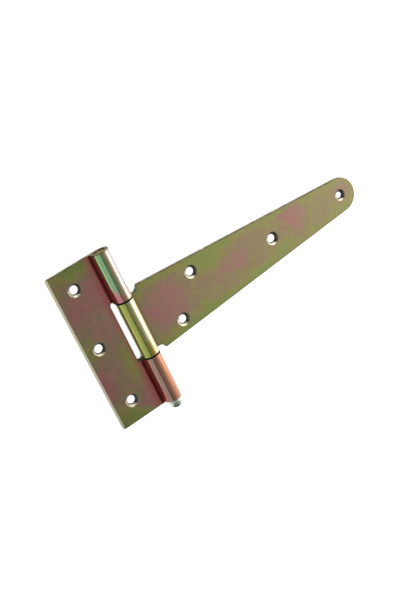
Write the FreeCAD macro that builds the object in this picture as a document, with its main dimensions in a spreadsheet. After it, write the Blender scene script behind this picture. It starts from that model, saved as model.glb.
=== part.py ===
import FreeCAD, Part
import math
import os
import Sketcher

# T hinge, flat and open, lying on its back.
# Frame: the back of both plates is z = 0 and +Z leaves the front, the side where the knuckles
# stand proud. +X runs along the strap to its tip, +Y along the pin to its plain end. The origin
# is on the back plane, under the middle of the pin. All lengths are millimetres, angles degrees.

SIZES = (
    # both plates
    ("sheet_thickness", 2.0, "pressed steel sheet of the leaf and the strap"),
    ("pressed_edge_rounding", 0.35, "front edges left rounded by the blanking tool"),
    ("screw_hole", 5.0, "through hole for a wood screw"),
    ("countersink_angle", 90.0, "full angle of every countersink"),
    ("countersink_land", 0.4, "straight hole left behind every countersink"),
    # knuckles
    ("knuckle_bore", 6.4, "inside of the rolled knuckles"),
    ("middle_knuckle_length", 36.0, "knuckle and neck of the strap"),
    ("knuckle_gap", 0.6, "running gap between neighbouring knuckles"),
    ("curl_lean_angle", 10.0, "lean of the curl's free end, away from the pin"),
    ("seam_gap", 0.1, "between the curl's free end and its own plate"),
    ("crimp_sweep_angle", 285.0, "how far round the lower knuckle's rim is crimped, from the back"),
    # leaf
    ("leaf_height", 100.0, "leaf along the pin"),
    ("leaf_reach", 34.0, "pin axis to the leaf's free edge"),
    ("free_edge_flat", 0.2, "flat left in the middle of the rolled free edge"),
    ("notch_clearance", 2.6, "middle knuckle to the root of the leaf's notch"),
    ("notch_relief", 0.7, "notch corners cut past the ends of the outer knuckles"),
    ("notch_relief_flat", 0.6, "the same cuts, beyond the rounds of the notch's root"),
    ("notch_corner_radius", 1.8, "rounds of the notch's root"),
    ("leaf_end_to_screw", 13.0, "outer two leaf screws from the leaf's ends"),
    ("free_edge_to_outer_screw", 12.4, "the same screws from the free edge"),
    ("free_edge_to_middle_screw", 9.4, "middle leaf screw from the free edge"),
    # strap
    ("strap_reach", 166.0, "pin axis to the strap's tip"),
    ("shoulder_clearance", 4.5, "outer knuckles to the foot of the strap's shoulders"),
    ("shoulder_slant", 1.7, "how far the shoulders run on along the strap"),
    ("shoulder_step", 3.2, "shoulders beyond the neck, on each side"),
    ("tip_radius", 10.8, "round end of the strap"),
    ("shoulder_to_upper_screw", 33.1, "strap screw on the plain end's side, along the strap"),
    ("side_to_upper_screw", 11.2, "the same screw, in from the shoulder's corner"),
    ("shoulder_to_lower_screw", 16.6, "strap screw on the head's side, along the strap"),
    ("side_to_lower_screw", 8.7, "the same screw, in from the shoulder's corner"),
    ("tip_to_centre_screw", 54.2, "screw on the strap's middle, from the one in the tip"),
    ("tip_screw_hole", 4.0, "through hole of the smaller screw in the tip"),
    # pin
    ("pin_clearance", 0.05, "radial running clearance in every knuckle"),
    ("pin_head_overhang", 0.9, "domed head beyond the bore, all round"),
    ("pin_head_rim", 1.0, "straight rim under the dome"),
    ("pin_end_recess", 0.5, "plain end below the upper knuckle's end face"),
    ("pin_end_chamfer", 0.5, "chamfer of the plain end"),
)

THICKNESS = "Sizes.sheet_thickness"
BORE_RADIUS = "(Sizes.knuckle_bore / 2)"
KNUCKLE_RADIUS = f"({BORE_RADIUS} + {THICKNESS})"
NECK_END = "(Sizes.middle_knuckle_length / 2)"
GAP_END = f"({NECK_END} + Sizes.knuckle_gap)"

NOTCH_END = f"({GAP_END} + Sizes.notch_relief)"
NOTCH_ROOT = f"({KNUCKLE_RADIUS} + Sizes.notch_clearance)"
NOTCH_RELIEF = f"({NOTCH_ROOT} - Sizes.notch_corner_radius - Sizes.notch_relief_flat)"
LEAF_END = "(Sizes.leaf_height / 2)"
FREE_EDGE_ROUNDING = f"(({THICKNESS} - Sizes.free_edge_flat) / 2)"
CRIMP_ROUNDING = f"({THICKNESS} - Sizes.pin_head_overhang)"

SHOULDER_FOOT = f"({KNUCKLE_RADIUS} + Sizes.shoulder_clearance)"
SHOULDER_CORNER = f"({SHOULDER_FOOT} + Sizes.shoulder_slant)"
SHOULDER_SIDE = f"({NECK_END} + Sizes.shoulder_step)"
TIP_CENTRE = "(Sizes.strap_reach - Sizes.tip_radius)"

HEAD_RADIUS = f"({BORE_RADIUS} + Sizes.pin_head_overhang)"
SHAFT_RADIUS = f"({BORE_RADIUS} - Sizes.pin_clearance)"

START, END, CENTRE = 1, 2, 3
ORIGIN, ACROSS, UP = (-1, 1), -1, -2

document = FreeCAD.newDocument("t_hinge")
sheet = document.addObject("Spreadsheet::Sheet", "Sizes")
for row, (alias, number, meaning) in enumerate(SIZES, start=1):
    sheet.set(f"A{row}", meaning)
    sheet.set(f"B{row}", str(number))
    sheet.setAlias(f"B{row}", alias)
document.recompute()


def value_of(expression):
    """What an expression of the sheet's sizes comes to."""
    return float(sheet.evalExpression(expression))


def new_body(label):
    body = document.addObject("PartDesign::Body", label)
    body.Label = label
    return body


def new_sketch(body, name, role):
    """A sketch on one of its body's own origin planes."""
    plane = next(part for part in body.Origin.OriginFeatures if part.Role == role)
    sketch = body.newObject("Sketcher::SketchObject", name)
    sketch.AttachmentSupport = [(plane, "")]
    sketch.MapMode = "FlatFace"
    return sketch


def line(start, end):
    return Part.LineSegment(FreeCAD.Vector(*start, 0), FreeCAD.Vector(*end, 0))


def arc(centre, radius, start, end):
    """An arc that runs anticlockwise between two angles in degrees."""
    circle = Part.Circle(FreeCAD.Vector(*centre, 0), FreeCAD.Vector(0, 0, 1), radius)
    return Part.ArcOfCircle(circle, math.radians(start), math.radians(end))


def constrain(sketch, kind, *places):
    return sketch.addConstraint(Sketcher.Constraint(kind, *places))


def bind(sketch, name, expression, kind, *places):
    """A named dimension that follows an expression of the sheet's sizes."""
    value = value_of(expression)
    index = constrain(sketch, kind, *places, math.radians(value) if kind == "Angle" else value)
    sketch.renameConstraint(index, name)
    sketch.setExpression("Constraints." + name, expression)


def chain(sketch, shapes, smooth=()):
    """Adds the shapes and joins each one's end to the next one's start, all the way round.

    smooth lists the shapes that run into the next one without a corner.
    """
    sketch.addGeometry(shapes, False)
    for step in range(len(shapes)):
        following = (step + 1) % len(shapes)
        constrain(sketch, "Tangent" if step in smooth else "Coincident", step, END, following, START)


def pad(body, name, sketch, expression, symmetric=False):
    feature = body.newObject("PartDesign::Pad", name)
    feature.Profile = sketch
    feature.SideType = "Symmetric" if symmetric else "One side"
    feature.setExpression("Length", expression)
    document.recompute()


def must_cut(body, name, before):
    """A cut that points away from the solid shows no error, so its volume is compared."""
    document.recompute()
    if body.Shape.Volume >= before:
        raise RuntimeError(f"{name} cuts nothing")


def cut_through(body, name, sketch):
    """A pocket through everything, on both sides of its sketch."""
    before = body.Shape.Volume
    feature = body.newObject("PartDesign::Pocket", name)
    feature.Profile = sketch
    feature.SideType = "Two sides"
    feature.Type = "ThroughAll"
    feature.Type2 = "ThroughAll"
    must_cut(body, name, before)


def lies_at(edge, axis, value):
    """True where the whole edge lies at one value of X, Y or Z."""
    box = edge.BoundBox
    low = getattr(box, axis + "Min")
    high = getattr(box, axis + "Max")
    return abs(low - value) < 1e-4 and abs(high - value) < 1e-4


def round_edges(body, name, expression, wanted):
    """Rounds every edge of the body for which wanted(edge) is true."""
    numbered = enumerate(body.Shape.Edges, start=1)
    edges = [f"Edge{number}" for number, edge in numbered if wanted(edge)]
    if not edges:
        raise RuntimeError(f"{name} finds no edge")
    base = body.Tip
    feature = body.newObject("PartDesign::Fillet", name)
    feature.Base = (base, edges)
    feature.setExpression("Radius", expression)
    document.recompute()


def curl_section(body, side):
    """The sheet rolled round the pin: side is -1 where the plate lies at -X, +1 where at +X.

    The section starts at the plate, under the pin, goes round the far side and over the top,
    and comes down on the plate's side. Its last stretch is straight and leans outwards, so its
    square-cut end meets the front of the plate beyond the round.
    """
    bore = value_of(BORE_RADIUS)
    knuckle = value_of(KNUCKLE_RADIUS)
    thickness = value_of(THICKNESS)
    foot = f"{THICKNESS} + Sizes.seam_gap"
    lean = value_of("Sizes.curl_lean_angle")
    outwards = FreeCAD.Vector(side * math.cos(math.radians(lean)), math.sin(math.radians(lean)), 0)
    downwards = FreeCAD.Vector(side * outwards.y, -side * outwards.x, 0)
    centre = FreeCAD.Vector(0, knuckle, 0)
    inner_turn = centre + outwards * bore
    outer_turn = centre + outwards * knuckle
    inner_foot = inner_turn + downwards * ((value_of(foot) - inner_turn.y) / downwards.y)
    outer_foot = inner_foot + outwards * thickness
    first_angle, last_angle = (-90, 180 - lean) if side < 0 else (lean, 270)

    sketch = new_sketch(body, "CurlSection", "XZ_Plane")
    sketch.addGeometry(
        [
            arc((0, knuckle), knuckle, first_angle, last_angle),
            line(outer_turn[:2], outer_foot[:2]),
            line(outer_foot[:2], inner_foot[:2]),
            line(inner_foot[:2], inner_turn[:2]),
            arc((0, knuckle), bore, first_angle, last_angle),
            line((0, thickness), (0, 0)),
        ],
        False,
    )
    outer_arc, outer_run, end_face, inner_run, inner_arc, plate_end = range(6)
    turned, under = (END, START) if side < 0 else (START, END)
    constrain(sketch, "Tangent", outer_arc, turned, outer_run, START)
    constrain(sketch, "Coincident", outer_run, END, end_face, START)
    constrain(sketch, "Coincident", end_face, END, inner_run, START)
    constrain(sketch, "Tangent", inner_run, END, inner_arc, turned)
    constrain(sketch, "Coincident", inner_arc, under, plate_end, START)
    constrain(sketch, "Coincident", plate_end, END, outer_arc, under)
    constrain(sketch, "Coincident", plate_end, END, *ORIGIN)
    constrain(sketch, "Vertical", plate_end)
    constrain(sketch, "PointOnObject", outer_arc, CENTRE, UP)
    constrain(sketch, "Coincident", inner_arc, CENTRE, outer_arc, CENTRE)
    constrain(sketch, "Perpendicular", end_face, inner_run)
    constrain(sketch, "Parallel", outer_run, inner_run)
    bind(sketch, "bore", BORE_RADIUS, "Radius", inner_arc)
    bind(sketch, "outside", KNUCKLE_RADIUS, "Radius", outer_arc)
    bind(sketch, "foot", foot, "DistanceY", *ORIGIN, inner_run, START)
    sign = "-" if side < 0 else "+"
    bind(sketch, "lean", f"90 {sign} Sizes.curl_lean_angle", "Angle", inner_run)
    return sketch


def add_screw_holes(body, name, places, hole):
    """Holes countersunk from the front. places maps a word to the expressions of its x and y."""
    before = body.Shape.Volume
    sketch = new_sketch(body, name + "Centres", "XY_Plane")
    sketch.setExpression("AttachmentOffset.Base.z", THICKNESS)
    for word, (x, y) in places.items():
        centre = FreeCAD.Vector(value_of(x), value_of(y), 0)
        circle = Part.Circle(centre, FreeCAD.Vector(0, 0, 1), value_of(hole) / 2)
        index = sketch.addGeometry(circle, False)
        bind(sketch, word + "_radius", hole + " / 2", "Radius", index)
        bind(sketch, word + "_x", x, "DistanceX", *ORIGIN, index, CENTRE)
        if centre.y:
            bind(sketch, word + "_y", y, "DistanceY", *ORIGIN, index, CENTRE)
        else:
            constrain(sketch, "PointOnObject", index, CENTRE, ACROSS)
    document.recompute()
    slope = "tan(Sizes.countersink_angle / 2)"
    feature = body.newObject("PartDesign::Hole", name)
    feature.Profile = sketch
    feature.DepthType = "ThroughAll"
    feature.HoleCutType = "Countersink"
    feature.HoleCutCustomValues = True
    feature.setExpression("Diameter", hole)
    feature.setExpression(
        "HoleCutDiameter", f"{hole} + 2 * ({THICKNESS} - Sizes.countersink_land) * {slope}"
    )
    feature.setExpression("HoleCutCountersinkAngle", "Sizes.countersink_angle")
    must_cut(body, name, before)


# Leaf: a square-cut plate with a notch for the middle knuckle and a knuckle on each side of it.


def add_leaf_plate(body):
    reach = value_of("Sizes.leaf_reach")
    end = value_of(LEAF_END)
    outline = new_sketch(body, "LeafOutline", "XY_Plane")
    chain(
        outline,
        [
            line((0, end), (-reach, end)),
            line((-reach, end), (-reach, -end)),
            line((-reach, -end), (0, -end)),
            line((0, -end), (0, end)),
        ],
    )
    upper_end, free_edge, lower_end, pin_side = range(4)
    constrain(outline, "Horizontal", upper_end)
    constrain(outline, "Horizontal", lower_end)
    constrain(outline, "Vertical", free_edge)
    constrain(outline, "PointOnObject", pin_side, START, UP)
    constrain(outline, "Symmetric", pin_side, START, pin_side, END, ACROSS)
    bind(outline, "reach", "Sizes.leaf_reach", "DistanceX", upper_end, END, *ORIGIN)
    bind(outline, "height", "Sizes.leaf_height", "DistanceY", pin_side, START, pin_side, END)
    pad(body, "LeafPlate", outline, THICKNESS)


def cut_notch(body):
    """Room for the middle knuckle, with its corners cut past the ends of the outer knuckles."""
    gap_end = value_of(GAP_END)
    end = value_of(NOTCH_END)
    root = value_of(NOTCH_ROOT)
    relief = value_of(NOTCH_RELIEF)
    corner = value_of("Sizes.notch_corner_radius")
    past_plate = value_of(THICKNESS)
    notch = new_sketch(body, "NotchOutline", "XY_Plane")
    chain(
        notch,
        [
            line((past_plate, gap_end), (-relief, gap_end)),
            line((-relief, gap_end), (-relief, end)),
            line((-relief, end), (corner - root, end)),
            arc((corner - root, end - corner), corner, 90, 180),
            line((-root, end - corner), (-root, corner - end)),
            arc((corner - root, corner - end), corner, 180, 270),
            line((corner - root, -end), (-relief, -end)),
            line((-relief, -end), (-relief, -gap_end)),
            line((-relief, -gap_end), (past_plate, -gap_end)),
            line((past_plate, -gap_end), (past_plate, gap_end)),
        ],
        smooth=(2, 3, 4, 5),
    )
    for level in (0, 2, 6, 8):
        constrain(notch, "Horizontal", level)
    for upright in (1, 4, 7):
        constrain(notch, "Vertical", upright)
    constrain(notch, "Equal", 3, 5)
    constrain(notch, "Symmetric", 0, START, 8, END, ACROSS)
    constrain(notch, "Symmetric", 2, START, 6, END, ACROSS)
    bind(notch, "gap_end", GAP_END, "DistanceY", *ORIGIN, 0, START)
    bind(notch, "notch_end", NOTCH_END, "DistanceY", *ORIGIN, 2, START)
    bind(notch, "root", NOTCH_ROOT, "DistanceX", 4, START, *ORIGIN)
    bind(notch, "corner", "Sizes.notch_corner_radius", "Radius", 3)
    bind(notch, "relief", NOTCH_RELIEF, "DistanceX", 2, START, *ORIGIN)
    bind(notch, "past_plate", THICKNESS, "DistanceX", *ORIGIN, 0, START)
    cut_through(body, "Notch", notch)


def soften_leaf_edges(body):
    """The free edge is the strip's own rolled edge; the ends were cut off it in a press."""
    reach = value_of("Sizes.leaf_reach")
    end = value_of(LEAF_END)
    front = value_of(THICKNESS)

    def at_free_edge(edge):
        return lies_at(edge, "X", -reach) and edge.Length > end

    def at_front_of_ends(edge):
        return lies_at(edge, "Z", front) and (lies_at(edge, "Y", end) or lies_at(edge, "Y", -end))

    round_edges(body, "RolledFreeEdge", FREE_EDGE_ROUNDING, at_free_edge)
    round_edges(body, "PressedEdges", "Sizes.pressed_edge_rounding", at_front_of_ends)


def cut_knuckle_gap(body):
    """Parts the leaf's rolled edge into two knuckles, with a running gap at each end."""
    gap_end = value_of(GAP_END)
    root = value_of(NOTCH_ROOT)
    past_knuckle_at = f"{KNUCKLE_RADIUS} + {THICKNESS}"
    past_knuckle = value_of(past_knuckle_at)
    gap = new_sketch(body, "KnuckleGapOutline", "XY_Plane")
    chain(
        gap,
        [
            line((past_knuckle, gap_end), (-root, gap_end)),
            line((-root, gap_end), (-root, -gap_end)),
            line((-root, -gap_end), (past_knuckle, -gap_end)),
            line((past_knuckle, -gap_end), (past_knuckle, gap_end)),
        ],
    )
    for level in (0, 2):
        constrain(gap, "Horizontal", level)
    for upright in (1, 3):
        constrain(gap, "Vertical", upright)
    bind(gap, "upper_end", GAP_END, "DistanceY", *ORIGIN, 0, START)
    bind(gap, "lower_end", GAP_END, "DistanceY", 2, START, *ORIGIN)
    bind(gap, "root", NOTCH_ROOT, "DistanceX", 1, START, *ORIGIN)
    bind(gap, "past_knuckle", past_knuckle_at, "DistanceX", *ORIGIN, 0, START)
    cut_through(body, "KnuckleGap", gap)


def crimp_lower_rim(body):
    """Rounds the lower knuckle's rim down to the pin's head, as far round as it clears the plate."""
    end = value_of(LEAF_END)
    rounding = value_of(CRIMP_ROUNDING)
    outside = value_of(THICKNESS)
    knuckle = value_of(KNUCKLE_RADIUS)
    section = new_sketch(body, "CrimpSection", "YZ_Plane")
    chain(
        section,
        [
            arc((rounding - end, rounding), rounding, 180, 270),
            line((rounding - end, 0), (rounding - end, -outside)),
            line((rounding - end, -outside), (-end - outside, -outside)),
            line((-end - outside, -outside), (-end - outside, rounding)),
            line((-end - outside, rounding), (-end, rounding)),
        ],
    )
    pin_axis = section.addGeometry(line((-end, knuckle), (0, knuckle)), True)
    rim, inner_side, below, beyond, top = range(5)
    for level in (below, top, pin_axis):
        constrain(section, "Horizontal", level)
    for upright in (inner_side, beyond):
        constrain(section, "Vertical", upright)
    constrain(section, "PointOnObject", rim, END, ACROSS)
    constrain(section, "Vertical", rim, END, rim, CENTRE)
    constrain(section, "Horizontal", rim, START, rim, CENTRE)
    constrain(section, "PointOnObject", pin_axis, END, UP)
    constrain(section, "Vertical", pin_axis, START, rim, START)
    bind(section, "rounding", CRIMP_ROUNDING, "Radius", rim)
    bind(section, "end", LEAF_END, "DistanceX", rim, START, *ORIGIN)
    bind(section, "axis", KNUCKLE_RADIUS, "DistanceY", *ORIGIN, pin_axis, START)
    bind(section, "below", THICKNESS, "DistanceY", inner_side, END, *ORIGIN)
    bind(section, "beyond", THICKNESS, "DistanceX", below, END, top, END)
    before = body.Shape.Volume
    groove = body.newObject("PartDesign::Groove", "CrimpedRim")
    groove.Profile = section
    groove.ReferenceAxis = (section, ["Axis0"])
    groove.Reversed = True
    groove.setExpression("Angle", "Sizes.crimp_sweep_angle")
    must_cut(body, "CrimpedRim", before)


def make_leaf():
    body = new_body("leaf")
    add_leaf_plate(body)
    cut_notch(body)
    soften_leaf_edges(body)
    pad(body, "LeafCurl", curl_section(body, -1), "Sizes.leaf_height", symmetric=True)
    cut_knuckle_gap(body)
    outer_x = "Sizes.free_edge_to_outer_screw - Sizes.leaf_reach"
    outer_y = f"{LEAF_END} - Sizes.leaf_end_to_screw"
    places = {
        "upper": (outer_x, outer_y),
        "middle": ("Sizes.free_edge_to_middle_screw - Sizes.leaf_reach", "0"),
        "lower": (outer_x, f"-({outer_y})"),
    }
    add_screw_holes(body, "LeafScrewHoles", places, "Sizes.screw_hole")
    crimp_lower_rim(body)
    return body


# Strap: a neck as wide as its knuckle, slanted shoulders, and sides that taper to a round tip.


def add_strap_plate(body):
    neck = value_of(NECK_END)
    foot = value_of(SHOULDER_FOOT)
    corner = FreeCAD.Vector(value_of(SHOULDER_CORNER), value_of(SHOULDER_SIDE), 0)
    centre = value_of(TIP_CENTRE)
    radius = value_of("Sizes.tip_radius")
    # The side meets the tip's circle where the line from the shoulder's corner touches it.
    run = centre - corner.x
    taper = math.atan2(corner.y, run) - math.asin(radius / math.hypot(run, corner.y))
    touch = (centre + radius * math.sin(taper), radius * math.cos(taper))
    touch_angle = 90 - math.degrees(taper)

    outline = new_sketch(body, "StrapOutline", "XY_Plane")
    chain(
        outline,
        [
            line((0, -neck), (foot, -neck)),
            line((foot, -neck), (corner.x, -corner.y)),
            line((corner.x, -corner.y), (touch[0], -touch[1])),
            arc((centre, 0), radius, -touch_angle, touch_angle),
            line(touch, corner[:2]),
            line(corner[:2], (foot, neck)),
            line((foot, neck), (0, neck)),
            line((0, neck), (0, -neck)),
        ],
        smooth=(2, 3),
    )
    lower_neck, _, lower_side, tip, upper_side, _, upper_neck, root = range(8)
    constrain(outline, "Horizontal", lower_neck)
    constrain(outline, "PointOnObject", root, START, UP)
    constrain(outline, "PointOnObject", tip, CENTRE, ACROSS)
    constrain(outline, "Symmetric", root, START, root, END, ACROSS)
    constrain(outline, "Symmetric", lower_neck, END, upper_neck, START, ACROSS)
    constrain(outline, "Symmetric", lower_side, START, upper_side, END, ACROSS)
    bind(outline, "neck_end", NECK_END, "DistanceY", *ORIGIN, root, START)
    bind(outline, "shoulder_foot", SHOULDER_FOOT, "DistanceX", *ORIGIN, lower_neck, END)
    bind(outline, "shoulder_corner", SHOULDER_CORNER, "DistanceX", *ORIGIN, lower_side, START)
    bind(outline, "shoulder_side", SHOULDER_SIDE, "DistanceY", *ORIGIN, upper_side, END)
    bind(outline, "tip_radius", "Sizes.tip_radius", "Radius", tip)
    bind(outline, "tip_centre", TIP_CENTRE, "DistanceX", *ORIGIN, tip, CENTRE)
    pad(body, "StrapPlate", outline, THICKNESS)


def soften_strap_edges(body):
    """The front edges beyond the neck, all round."""
    front = value_of(THICKNESS)
    foot = value_of(SHOULDER_FOOT)

    def at_front(edge):
        return lies_at(edge, "Z", front) and edge.BoundBox.XMin > foot - 1e-4

    round_edges(body, "PressedEdges", "Sizes.pressed_edge_rounding", at_front)


def make_strap():
    body = new_body("strap")
    add_strap_plate(body)
    soften_strap_edges(body)
    knuckle = curl_section(body, 1)
    pad(body, "StrapCurl", knuckle, "Sizes.middle_knuckle_length", symmetric=True)
    places = {
        "upper": (
            f"{SHOULDER_CORNER} + Sizes.shoulder_to_upper_screw",
            f"{SHOULDER_SIDE} - Sizes.side_to_upper_screw",
        ),
        "lower": (
            f"{SHOULDER_CORNER} + Sizes.shoulder_to_lower_screw",
            f"Sizes.side_to_lower_screw - {SHOULDER_SIDE}",
        ),
        "centre": (f"{TIP_CENTRE} - Sizes.tip_to_centre_screw", "0"),
    }
    add_screw_holes(body, "StrapScrewHoles", places, "Sizes.screw_hole")
    add_screw_holes(body, "TipScrewHole", {"tip": (TIP_CENTRE, "0")}, "Sizes.tip_screw_hole")
    return body


# Pin: a plain shaft with a domed head, turned about its own axis.


def make_pin():
    head = value_of(HEAD_RADIUS)
    shaft = value_of(SHAFT_RADIUS)
    head_face_y = -value_of(LEAF_END)
    dome_y = head_face_y - value_of("Sizes.pin_head_rim")
    plain_end_at = f"{LEAF_END} - Sizes.pin_end_recess"
    plain_end = value_of(plain_end_at)
    bevel = value_of("Sizes.pin_end_chamfer")

    body = new_body("hinge_pin")
    section = new_sketch(body, "PinSection", "XY_Plane")
    section.setExpression("AttachmentOffset.Base.z", KNUCKLE_RADIUS)
    chain(
        section,
        [
            arc((0, dome_y), head, 270, 360),
            line((head, dome_y), (head, head_face_y)),
            line((head, head_face_y), (shaft, head_face_y)),
            line((shaft, head_face_y), (shaft, plain_end - bevel)),
            line((shaft, plain_end - bevel), (shaft - bevel, plain_end)),
            line((shaft - bevel, plain_end), (0, plain_end)),
            line((0, plain_end), (0, dome_y - head)),
        ],
        smooth=(0,),
    )
    dome, rim, head_face, side, chamfer, end_face, middle = range(7)
    for level in (head_face, end_face):
        constrain(section, "Horizontal", level)
    for upright in (rim, side):
        constrain(section, "Vertical", upright)
    constrain(section, "PointOnObject", dome, CENTRE, UP)
    constrain(section, "PointOnObject", dome, START, UP)
    constrain(section, "PointOnObject", middle, START, UP)
    bind(section, "head", HEAD_RADIUS, "Radius", dome)
    bind(section, "head_rim", "Sizes.pin_head_rim", "DistanceY", rim, START, rim, END)
    bind(section, "head_face", LEAF_END, "DistanceY", side, START, *ORIGIN)
    bind(section, "shaft", SHAFT_RADIUS, "DistanceX", *ORIGIN, side, START)
    bind(section, "plain_end", plain_end_at, "DistanceY", *ORIGIN, end_face, END)
    bind(section, "bevel_width", "Sizes.pin_end_chamfer", "DistanceX", chamfer, END, chamfer, START)
    bind(section, "bevel_height", "Sizes.pin_end_chamfer", "DistanceY", chamfer, START, chamfer, END)
    turned = body.newObject("PartDesign::Revolution", "TurnedPin")
    turned.Profile = section
    turned.ReferenceAxis = (section, ["V_Axis"])
    turned.Angle = 360
    return body


def check(bodies):
    """A recompute can leave an object failed without raising, so every one is looked at."""
    for item in document.Objects:
        if "Invalid" in item.State or "Error" in item.State:
            raise RuntimeError(f"{item.Label} failed: {item.State}")
        if item.TypeId == "Sketcher::SketchObject" and not item.FullyConstrained:
            raise RuntimeError(f"{item.Label} isn't fully constrained")
    for body in bodies:
        shape = body.Shape
        if shape.isNull() or not shape.isValid() or len(shape.Solids) != 1:
            raise RuntimeError(f"{body.Label} isn't one valid solid")


def write(bodies):
    os.makedirs("parts", exist_ok=True)
    for body in bodies:
        body.Shape.exportStep(f"parts/{body.Label}.step")
        print(f"{body.Label}: {body.Shape.Volume:.1f} cubic mm")


pieces = (make_leaf(), make_strap(), make_pin())
document.recompute()
check(pieces)
write(pieces)
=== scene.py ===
"""T hinge in yellow-passivated pressed steel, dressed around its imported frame.

Laid out as a Blender add-on: sizes, finishes and studio are property groups, each piece has its
own operator, and one more sets up the studio. Run as a script it builds the whole scene.
"""

import math

import bmesh
import bpy
from bpy.props import FloatProperty, FloatVectorProperty, IntProperty, PointerProperty
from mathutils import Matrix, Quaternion, Vector


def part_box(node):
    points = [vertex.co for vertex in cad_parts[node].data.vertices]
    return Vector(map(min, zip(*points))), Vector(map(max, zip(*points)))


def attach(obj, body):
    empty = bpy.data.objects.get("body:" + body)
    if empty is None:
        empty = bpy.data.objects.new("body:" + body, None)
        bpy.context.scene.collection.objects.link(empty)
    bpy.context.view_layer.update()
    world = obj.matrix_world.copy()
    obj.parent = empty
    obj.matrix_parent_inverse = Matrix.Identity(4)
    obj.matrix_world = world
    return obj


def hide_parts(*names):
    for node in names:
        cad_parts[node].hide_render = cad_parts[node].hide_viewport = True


bl_info = {
    "name": "T Hinge",
    "version": (1, 0, 0),
    "blender": (4, 5, 0),
    "location": "3D View > Sidebar > T Hinge",
    "description": "Builds a T hinge of passivated pressed steel over its packed frame",
    "category": "Object",
}

MM = 0.001

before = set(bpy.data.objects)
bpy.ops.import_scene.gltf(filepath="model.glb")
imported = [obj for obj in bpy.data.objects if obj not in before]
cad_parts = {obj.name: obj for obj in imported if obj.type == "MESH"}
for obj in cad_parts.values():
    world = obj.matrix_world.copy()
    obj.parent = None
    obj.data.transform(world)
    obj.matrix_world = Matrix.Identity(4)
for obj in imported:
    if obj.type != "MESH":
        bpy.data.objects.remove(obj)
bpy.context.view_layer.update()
LEAF_LOW, LEAF_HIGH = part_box("leaf")
STRAP_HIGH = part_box("strap")[1]
PIN_LOW, PIN_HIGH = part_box("hinge_pin")

LEAF_HEIGHT = round((LEAF_HIGH.y - LEAF_LOW.y) / MM, 1) * MM
LEAF_REACH = round(-LEAF_LOW.x / MM, 1) * MM
KNUCKLE_RADIUS = round(LEAF_HIGH.z / 2 / MM, 1) * MM
STRAP_REACH = round(STRAP_HIGH.x / MM, 1) * MM

# The blanking tool's round stops this far past the notch's root, before the curls rise.
PAST_ROOT = 1.2 * MM


def linear(hex_colour, alpha=1.0):
    """A colour written as sRGB hex, as linear RGBA."""
    digits = hex_colour.lstrip("#")
    channels = []
    for start in (0, 2, 4):
        value = int(digits[start : start + 2], 16) / 255
        channels.append(value / 12.92 if value <= 0.04045 else ((value + 0.055) / 1.055) ** 2.4)
    return (*channels, alpha)


def length(name, description, default):
    """One length of the hinge, in metres."""
    return FloatProperty(
        name=name, description=description, default=default, min=0.0, unit="LENGTH", precision=5
    )


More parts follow.
